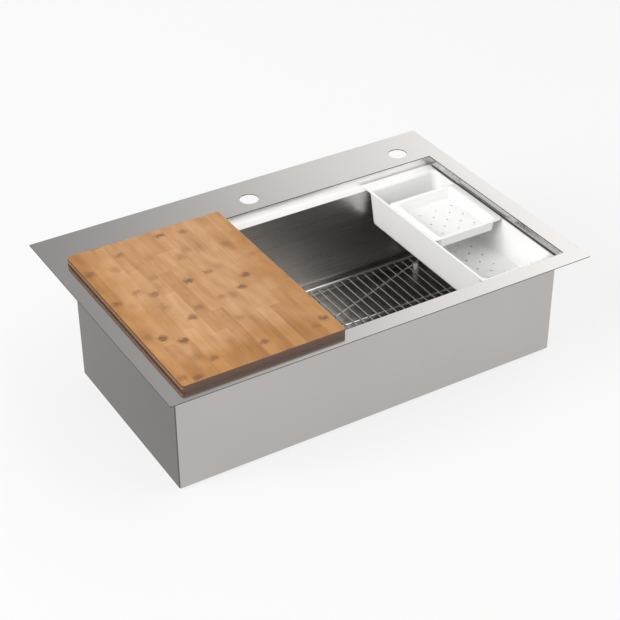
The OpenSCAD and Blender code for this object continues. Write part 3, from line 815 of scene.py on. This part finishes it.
def rod(mesh, path, radius, closed=False, steps=16):
    """Round rod along a level or straight path, with rounded ends."""
    rings = []
    count = len(path)
    for i, point in enumerate(path):
        before = path[i - 1] if i or closed else point
        after = path[(i + 1) % count] if i < count - 1 or closed else point
        run = (after - before).normalized()
        side = run.cross(Vector((0, 0, 1))).normalized()
        rise = side.cross(run)
        rings.append((point, run, side, rise))

    def circle_at(entry, size, shift=0.0):
        point, run, side, rise = entry
        return [point + run * shift + size * (side * math.cos(t) + rise * math.sin(t))
                for t in (2 * math.pi * step / steps for step in range(steps))]

    made = [mesh.ring(circle_at(entry, radius)) for entry in rings]
    for a, b in zip(made, made[1:]):
        mesh.bridge(a, b)
    if closed:
        mesh.bridge(made[-1], made[0])
        return
    edge = radius * 0.3
    for entry, ring, sign in ((rings[0], made[0], 1), (rings[-1], made[-1], -1)):
        for vert, point in zip(ring, circle_at(entry, radius, sign * edge)):
            vert.co = point
        cap = mesh.ring(circle_at(entry, radius - edge))
        mesh.bridge(ring, cap)
        mesh.fill(cap)


def bead(mesh, point, size):
    """Small weld."""
    made = bmesh.ops.create_icosphere(mesh.bm, subdivisions=1, radius=1.0)
    for vert in made["verts"]:
        vert.co = point + Vector([part * scale for part, scale in zip(vert.co, size)])


def make_rack(material, foot_material):
    low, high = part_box("rack_rail")
    middle_y = (low.y + high.y) / 2
    rail_z = (low.z + high.z) / 2
    rail_x, rail_y = high.x - RAIL_RADIUS, (high.y - low.y) / 2 - RAIL_RADIUS
    mesh = Mesh()
    path = outline((-rail_x, rail_x), (middle_y - rail_y, middle_y + rail_y), RAIL_CORNER, rail_z)
    rod(mesh, path, RAIL_RADIUS, closed=True)
    place(mesh.object("rack_outer_rail", material), "rack", "wire_steel", "rack_rail")

    wires_low, wires_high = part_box("rack_cross_wires")
    wire_z = (wires_low.z + wires_high.z) / 2
    half = int(round((wires_high.x - WIRE_RADIUS) / WIRE_PITCH))
    bars_low, bars_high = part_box("rack_bars")
    bar_z = (bars_low.z + bars_high.z) / 2
    mesh = Mesh()
    bar_ys = (bars_low.y + BAR_RADIUS, bars_high.y - BAR_RADIUS)
    for i in range(-half, half + 1):
        x = i * WIRE_PITCH
        wire_path = [Vector((x, y, wire_z)) for y in (wires_low.y, wires_high.y)]
        rod(mesh, wire_path, WIRE_RADIUS, steps=12)
        for y in bar_ys:
            bead(mesh, Vector((x, y, wire_z - WIRE_RADIUS)), BAR_BEAD)
        for side in (-1, 1):
            y = middle_y + side * (rail_y - RAIL_RADIUS * RAIL_BEAD_IN)
            bead(mesh, Vector((x, y, wire_z + WIRE_RADIUS * RAIL_BEAD_UP)), RAIL_BEAD)
    place(mesh.object("rack_wires_and_welds", material), "rack", "wire_steel", "rack_cross_wires")

    mesh = Mesh()
    for y in bar_ys:
        rod(mesh, [Vector((bars_low.x, y, bar_z)), Vector((bars_high.x, y, bar_z))], BAR_RADIUS)
    place(mesh.object("rack_long_bars", material), "rack", "wire_steel", "rack_bars")

    mesh = Mesh()
    start_y = bar_ys[1] - middle_y + 2 * BAR_RADIUS - WELD_OVERLAP
    end = Vector((rail_x - RAIL_CORNER, rail_y - 2 * RAIL_RADIUS, 0))
    for sx in (-1, 1):
        for sy in (-1, 1):
            rod(mesh, [Vector((sx * 2 * BAR_RADIUS, middle_y + sy * start_y, bar_z)),
                       Vector((sx * end.x, middle_y + sy * end.y, bar_z))], BAR_RADIUS)
    place(mesh.object("rack_diagonal_braces", material), "rack", "wire_steel", "rack_braces")
    dress(["rack_feet"], foot_material)


# ---- Studio ----

def make_world():
    """Pale studio: brightest low down on the right, dim overhead and to the left."""
    world = bpy.data.worlds.new("studio")
    bpy.context.scene.world = world
    world.use_nodes = True
    tree = world.node_tree
    background = tree.nodes["Background"]
    direction = tree.nodes.new("ShaderNodeTexCoord")
    along = tree.nodes.new("ShaderNodeVectorMath")
    along.operation = "DOT_PRODUCT"
    along.inputs[1].default_value = STUDIO_SLOPE
    ramp = tree.nodes.new("ShaderNodeMapRange")
    ramp.interpolation_type = "SMOOTHSTEP"
    for key, value in STUDIO_RAMP.items():
        ramp.inputs[key].default_value = value
    tree.links.new(direction.outputs["Generated"], along.inputs[0])
    tree.links.new(along.outputs["Value"], ramp.inputs["Value"])
    tree.links.new(ramp.outputs[0], background.inputs["Strength"])
    background.inputs["Color"].default_value = STUDIO_COLOUR


def add_softbox(name, azimuth, elevation, distance, size, power):
    """Large lamp aimed at the sink, which lights the matt surfaces and isn't mirrored.
    The azimuth is the side that it stands on, turned from the front to the right."""
    azimuth, elevation = math.radians(azimuth), math.radians(elevation)
    away = Vector((math.sin(azimuth) * math.cos(elevation),
                   -math.cos(azimuth) * math.cos(elevation),
                   math.sin(elevation)))
    data = bpy.data.lights.new(name, "AREA")
    data.shape = "DISK"
    data.size = size
    data.energy = power
    lamp = bpy.data.objects.new(name, data)
    turn = away.to_track_quat("Z", "Y").to_matrix().to_4x4()
    lamp.matrix_world = Matrix.Translation(LAMP_AIM + away * distance) @ turn
    lamp.visible_glossy = False
    lamp.visible_camera = False
    bpy.context.scene.collection.objects.link(lamp)


def make_floor():
    """Pale floor. Camera, glossy and transmission rays see mostly an even pale tone on it,
    and the rest is its shaded colour, which shows the object's shadow."""
    bpy.ops.mesh.primitive_plane_add(size=FLOOR_SIZE)
    floor = bpy.context.object
    floor.name = "floor"
    shader = Shader("floor")
    path = shader.tree.nodes.new("ShaderNodeLightPath")
    seen = shader.math("MAXIMUM", path.outputs["Is Camera Ray"], path.outputs["Is Glossy Ray"])
    seen = shader.math("MAXIMUM", seen, path.outputs["Is Transmission Ray"])
    shader.set(base_color=colour(*[FLOOR_TONE] * 3), roughness=0.9, specular_ior_level=0.0)
    glow = shader.node("ShaderNodeEmission", 0, {"Color": colour(*[GLOW_TONE] * 3), "Strength": 1.0})
    mixed = shader.tree.nodes.new("ShaderNodeMixShader")
    shader.feed(mixed.inputs[0], shader.math("MULTIPLY", seen, FLOOR_GLOW))
    shader.feed(mixed.inputs[1], shader.surface.outputs[0])
    shader.feed(mixed.inputs[2], glow)
    shader.tree.links.new(mixed.outputs[0], shader.tree.nodes["Material Output"].inputs["Surface"])
    floor.data.materials.append(shader.material)


# ---- Scene ----

add_camera()
make_world()
make_floor()
add_softbox("left_softbox", azimuth=-88, elevation=30, distance=6, size=4, power=300)

deck_steel = brushed_steel("deck_steel_brushed", (0.685, 0.664, 0.651),
                           0.15, 0.5, (2, 700, 2), (0, 1, 0), 0.012)
# Near-black steel for the deck's edge faces, as painted shade
deck_edge_painted_shade_steel = brushed_steel("deck_edge_painted_shade_steel", (0.11, 0.105, 0.10),
                               0.4, 0.0, (300, 300, 300), (0, 0, 1), 0.05)
wall_steel = brushed_steel("wall_steel_brushed", (0.48, 0.463, 0.45),
                           0.26, 0.6, (2, 2, 700), (0, 0, 1), 0.014)
# Darker copy of the wall steel for the left wall's outer face, as painted shade
left_wall_shade_steel = brushed_steel("left_wall_steel_brushed_painted_shade", (0.14, 0.133, 0.128),
                           0.26, 0.6, (2, 2, 700), (0, 0, 1), 0.014)
bowl_steel = brushed_steel("bowl_steel_brushed", (0.62, 0.60, 0.58),
                           0.28, 0.4, (2, 2, 500), (0, 0, 1), 0.015)
end_steel = brushed_steel("recess_end_steel", (0.72, 0.71, 0.70),
                          0.13, 0.2, (2, 2, 500), (0, 0, 1), 0.015)
ledge_steel = brushed_steel("ledge_steel_satin", (0.92, 0.905, 0.90),
                            0.36, 0.2, (2, 500, 500), (0, 1, 0), 0.015, 0.8)
under_steel = brushed_steel("under_steel_mill", (0.55, 0.55, 0.54),
                            0.45, 0.2, (2, 400, 400), (0, 1, 0), 0.04)
plastic = white_plastic()
wire = bright_wire()
bamboo_light = (0.60, 0.335, 0.16)
bamboo_dark = (0.40, 0.185, 0.062)
# Dark tones of the board's upright faces: the strips' sides and end grain with painted shade
bamboo_side_painted_shade = (0.10, 0.055, 0.035)
core_side_painted_shade = (0.33, 0.18, 0.10)
end_grain_and_shade = (0.14, 0.08, 0.055)

make_deck(deck_steel, deck_edge_painted_shade_steel)
make_bowl(wall_steel, bowl_steel, left_wall_shade_steel, end_steel)
make_ledge("recess_and_ledge_front", "recess_wall_front", "ledge_front", -1, ledge_steel)
make_ledge("recess_and_ledge_rear", "recess_wall_rear", "ledge_rear", 1, ledge_steel)
make_bin(plastic)
make_tray(plastic)
make_rack(wire, rubber("pale_rubber", (0.80, 0.80, 0.77), 0.35))

dress(["tap_stiffener", *["hook_rail_" + side for side in ("front", "rear", "left", "right")]],
      under_steel)
dress(["board_top_ply", "board_bottom_ply", "board_guides"],
      bamboo("bamboo_strips", bamboo_light, bamboo_dark, bamboo_side_painted_shade, end_grain_and_shade))
dress(["board_core_ply"], bamboo("bamboo_core_strips", bamboo_light, bamboo_dark, core_side_painted_shade, end_grain_and_shade))
dress(["sound_pads"], rubber("damping_rubber", (0.05, 0.05, 0.055), 0.8))
dress(["deck_seal"], rubber("seal_foam", (0.04, 0.04, 0.04), 0.85))

bpy.context.scene.view_settings.view_transform = "Standard"
